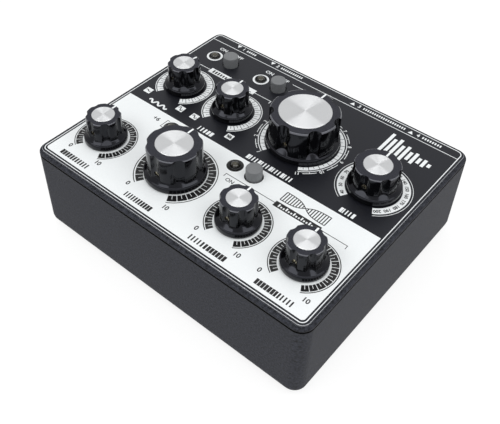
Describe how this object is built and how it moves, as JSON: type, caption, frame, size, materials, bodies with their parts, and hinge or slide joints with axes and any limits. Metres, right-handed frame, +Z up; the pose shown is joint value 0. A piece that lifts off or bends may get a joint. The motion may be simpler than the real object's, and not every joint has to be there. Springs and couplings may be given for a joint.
{
  "type": "digital echo unit",
  "caption": "Table-top audio echo unit: low cast box with a printed top plate, fluted skirted knobs, push buttons, lamps and jack sockets at the back.",
  "frame": {"origin": "on the table under the middle of the unit's outer box, the socket nuts at the back included", "axes": "+Z up, +X to the right as seen by a person at the front, +Y to the back where the sockets are"},
  "size_m": [0.1874, 0.161, 0.0817],
  "materials": {
    "powder_coat": "fine-textured charcoal powder coat on cast aluminium",
    "printed_plate": "satin black with white printed fields",
    "phenolic": "glossy black moulded",
    "spun_aluminium": "spun, with fine turning rings",
    "brass": "plain turned",
    "steel": "plated",
    "nickel": "nickel plated",
    "rubber": "matt black",
    "button_plastic": "mid-grey moulded",
    "black_plastic": "black moulded",
    "lens": "smoked, unlit",
    "circuit_board": "green solder mask",
    "ribbon": "grey flat cable"
  },
  "bodies": {
    "box": {"body_shell": "powder_coat", "rear_panel": "powder_coat", "lid": "powder_coat", "top_plate": "printed_plate", "lid_screws": "steel", "feet": "rubber", "main_board": "circuit_board", "main_board_screws": "steel", "main_board_parts": "black_plastic", "control_board": "circuit_board", "ribbon_cable": "ribbon", "ribbon_plugs": "black_plastic", "potentiometers": "steel", "pot_washers": "nickel", "pot_nuts": "nickel", "switches": "black_plastic", "lamp_bezels": "black_plastic", "lamp_lenses": "lens", "input_jack_left": "black_plastic", "input_jack_right": "black_plastic", "output_jack_left": "black_plastic", "output_jack_right": "black_plastic", "jack_washers": "nickel", "jack_nuts": "nickel", "power_inlet": "black_plastic"},
    "feedback_control": {"feedback_knob": "phenolic", "feedback_inlay": "spun_aluminium", "feedback_insert": "brass", "feedback_shaft": "steel"},
    "volume_control": {"volume_knob": "phenolic", "volume_inlay": "spun_aluminium", "volume_insert": "brass", "volume_shaft": "steel"},
    "high_pass_control": {"high_pass_knob": "phenolic", "high_pass_inlay": "spun_aluminium", "high_pass_insert": "brass", "high_pass_shaft": "steel"},
    "low_pass_control": {"low_pass_knob": "phenolic", "low_pass_inlay": "spun_aluminium", "low_pass_insert": "brass", "low_pass_shaft": "steel"},
    "depth_control": {"depth_knob": "phenolic", "depth_inlay": "spun_aluminium", "depth_insert": "brass", "depth_shaft": "steel"},
    "rate_control": {"rate_knob": "phenolic", "rate_inlay": "spun_aluminium", "rate_insert": "brass", "rate_shaft": "steel"},
    "multiply_control": {"multiply_knob": "phenolic", "multiply_inlay": "spun_aluminium", "multiply_insert": "brass", "multiply_shaft": "steel"},
    "tempo_control": {"tempo_knob": "phenolic", "tempo_inlay": "spun_aluminium", "tempo_insert": "brass", "tempo_shaft": "steel"},
    "left_button_body": {"left_button": "button_plastic"},
    "centre_button_body": {"centre_button": "button_plastic"},
    "front_button_body": {"front_button": "button_plastic"}
  },
  "joints": [
    {"name": "feedback_turn", "type": "hinge", "parent": "box", "child": "feedback_control", "pos_m": [-0.0692, -0.04835, 0.0596], "axis": [0, 0, 1], "range_deg": [-150, 150]},
    {"name": "volume_turn", "type": "hinge", "parent": "box", "child": "volume_control", "pos_m": [-0.0203, -0.04305, 0.0596], "axis": [0, 0, 1], "range_deg": [-150, 150]},
    {"name": "high_pass_turn", "type": "hinge", "parent": "box", "child": "high_pass_control", "pos_m": [0.028, -0.04835, 0.0596], "axis": [0, 0, 1], "range_deg": [-150, 150]},
    {"name": "low_pass_turn", "type": "hinge", "parent": "box", "child": "low_pass_control", "pos_m": [0.0693, -0.04835, 0.0596], "axis": [0, 0, 1], "range_deg": [-150, 150]},
    {"name": "depth_turn", "type": "hinge", "parent": "box", "child": "depth_control", "pos_m": [-0.0691, 0.01625, 0.0596], "axis": [0, 0, 1], "range_deg": [-137.5, 162.5]},
    {"name": "rate_turn", "type": "hinge", "parent": "box", "child": "rate_control", "pos_m": [-0.0312, 0.01625, 0.0596], "axis": [0, 0, 1], "range_deg": [-150, 150]},
    {"name": "multiply_turn", "type": "hinge", "parent": "box", "child": "multiply_control", "pos_m": [0.016, 0.02225, 0.0596], "axis": [0, 0, 1], "range_deg": [-150, 150]},
    {"name": "tempo_turn", "type": "hinge", "parent": "box", "child": "tempo_control", "pos_m": [0.0666, 0.01745, 0.0596], "axis": [0, 0, 1], "range_deg": [-150, 150]},
    {"name": "left_button_press", "type": "slide", "parent": "box", "child": "left_button_body", "axis": [0, 0, -1], "range_m": [0, 0.002], "stiffness_N_per_m": 250, "springref_m": -0.002},
    {"name": "centre_button_press", "type": "slide", "parent": "box", "child": "centre_button_body", "axis": [0, 0, -1], "range_m": [0, 0.002], "stiffness_N_per_m": 250, "springref_m": -0.002},
    {"name": "front_button_press", "type": "slide", "parent": "box", "child": "front_button_body", "axis": [0, 0, -1], "range_m": [0, 0.002], "stiffness_N_per_m": 250, "springref_m": -0.002}
  ]
}
